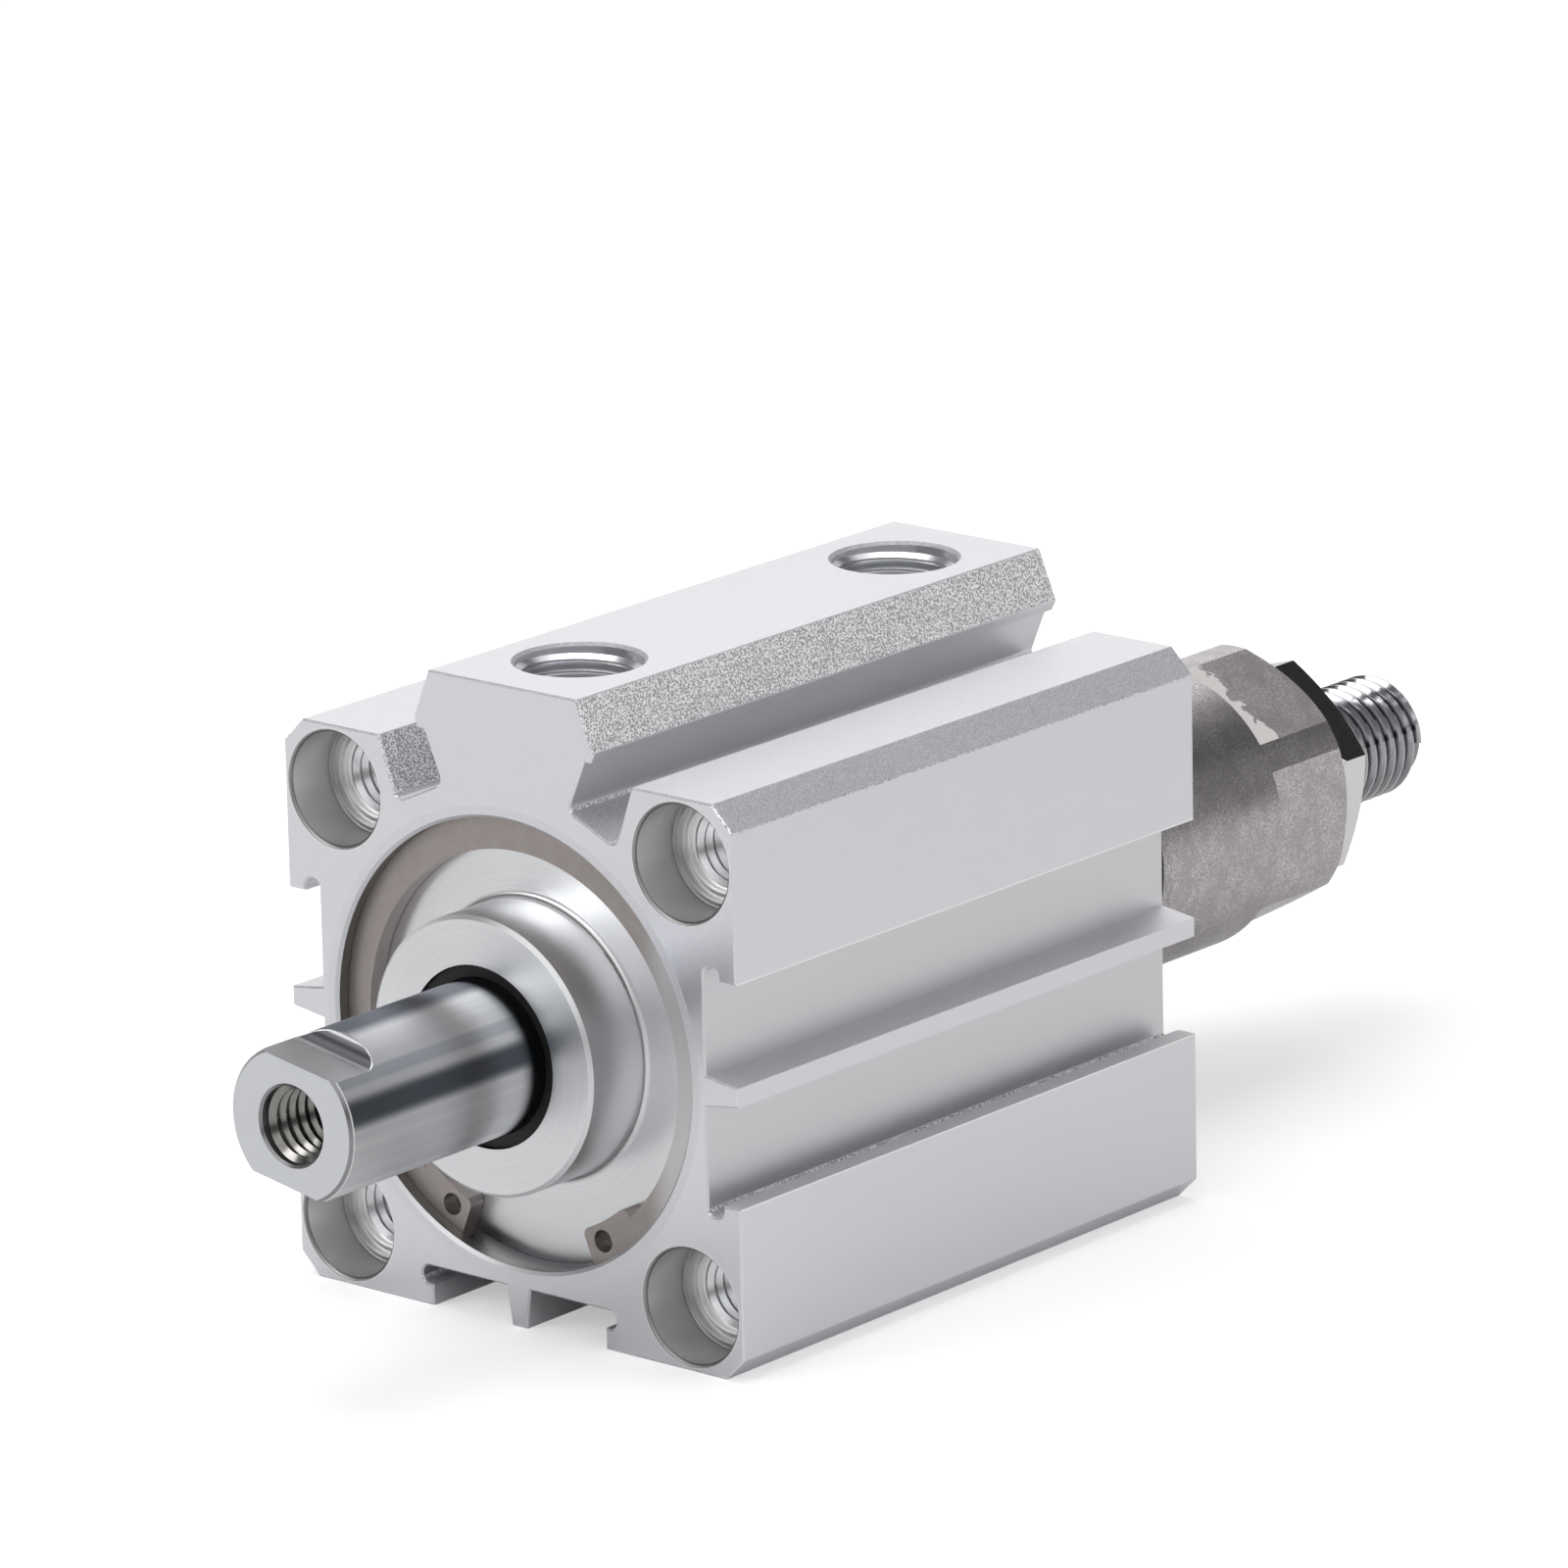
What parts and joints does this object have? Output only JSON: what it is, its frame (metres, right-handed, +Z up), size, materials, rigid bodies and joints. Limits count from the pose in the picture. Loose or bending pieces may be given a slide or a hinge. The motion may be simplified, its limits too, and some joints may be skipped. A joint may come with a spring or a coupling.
{
  "type": "compact pneumatic cylinder",
  "caption": "Square compact air cylinder with a through rod, side sensor slots, top air ports and a screw-on stroke adjuster with lock nut.",
  "frame": {"origin": "on the rod axis, in the body's front face, the centre of the front fixing holes", "axes": "+Y along the rod towards the adjuster, -Y out of the rod's threaded mouth, +Z up to the air ports"},
  "size_m": [0.044, 0.1317, 0.0498],
  "materials": {
    "anodised_body": "satin, clear anodised extrusion",
    "turned_cover": "turned",
    "spring_steel": "phosphated spring steel",
    "seal_rubber": "matt",
    "bush_bronze": "sintered bronze",
    "bumper_urethane": "matt",
    "chromed_rod": "hard chromed and polished",
    "piston_aluminium": "turned",
    "magnet_ferrite": "plastic bonded ferrite",
    "guide_band": "filled plastic",
    "adjuster_steel": "ground",
    "plated_nut": "bright zinc plated"
  },
  "bodies": {
    "body": {"barrel": "anodised_body", "front_cover": "turned_cover", "rear_cover": "turned_cover", "front_retaining_ring": "spring_steel", "rear_retaining_ring": "spring_steel", "front_cover_oring": "seal_rubber", "rear_cover_oring": "seal_rubber", "front_rod_seal": "seal_rubber", "rear_rod_seal": "seal_rubber", "front_rod_bush": "bush_bronze", "rear_rod_bush": "bush_bronze", "front_bumper": "bumper_urethane", "rear_bumper": "bumper_urethane"},
    "piston_rings": {"piston_seal": "seal_rubber", "wear_ring": "guide_band"},
    "rod": {"front_rod": "chromed_rod", "rear_rod": "chromed_rod", "piston": "piston_aluminium", "magnet": "magnet_ferrite", "magnet_retainer": "piston_aluminium", "stud_oring": "seal_rubber"},
    "pad": {"stop_pad": "bumper_urethane"},
    "adjuster": {"adjusting_nut": "adjuster_steel"},
    "locking": {"lock_nut": "plated_nut"}
  },
  "joints": [
    {"name": "rod_stroke", "type": "slide", "parent": "body", "child": "piston_rings", "axis": [0, -1, 0], "range_m": [-0.01385, 0.00615]},
    {"name": "rod_turn", "type": "hinge", "parent": "piston_rings", "child": "rod", "pos_m": [0, 0, 0], "axis": [0, 1, 0], "continuous": true},
    {"name": "adjuster_travel", "type": "slide", "parent": "rod", "child": "pad", "axis": [0, 1, 0], "range_m": [0, 0.01]},
    {"name": "adjuster_turn", "type": "hinge", "parent": "pad", "child": "adjuster", "pos_m": [0, 0, 0], "axis": [0, 1, 0], "range_deg": [0, 2890]},
    {"name": "lock_nut_release", "type": "hinge", "parent": "adjuster", "child": "locking", "pos_m": [0, 0, 0], "axis": [0, 1, 0], "range_deg": [0, 60]}
  ],
  "couplings": [
    {"joint": "adjuster_turn", "follows": "adjuster_travel", "rad_per_m": 5026.5}
  ]
}
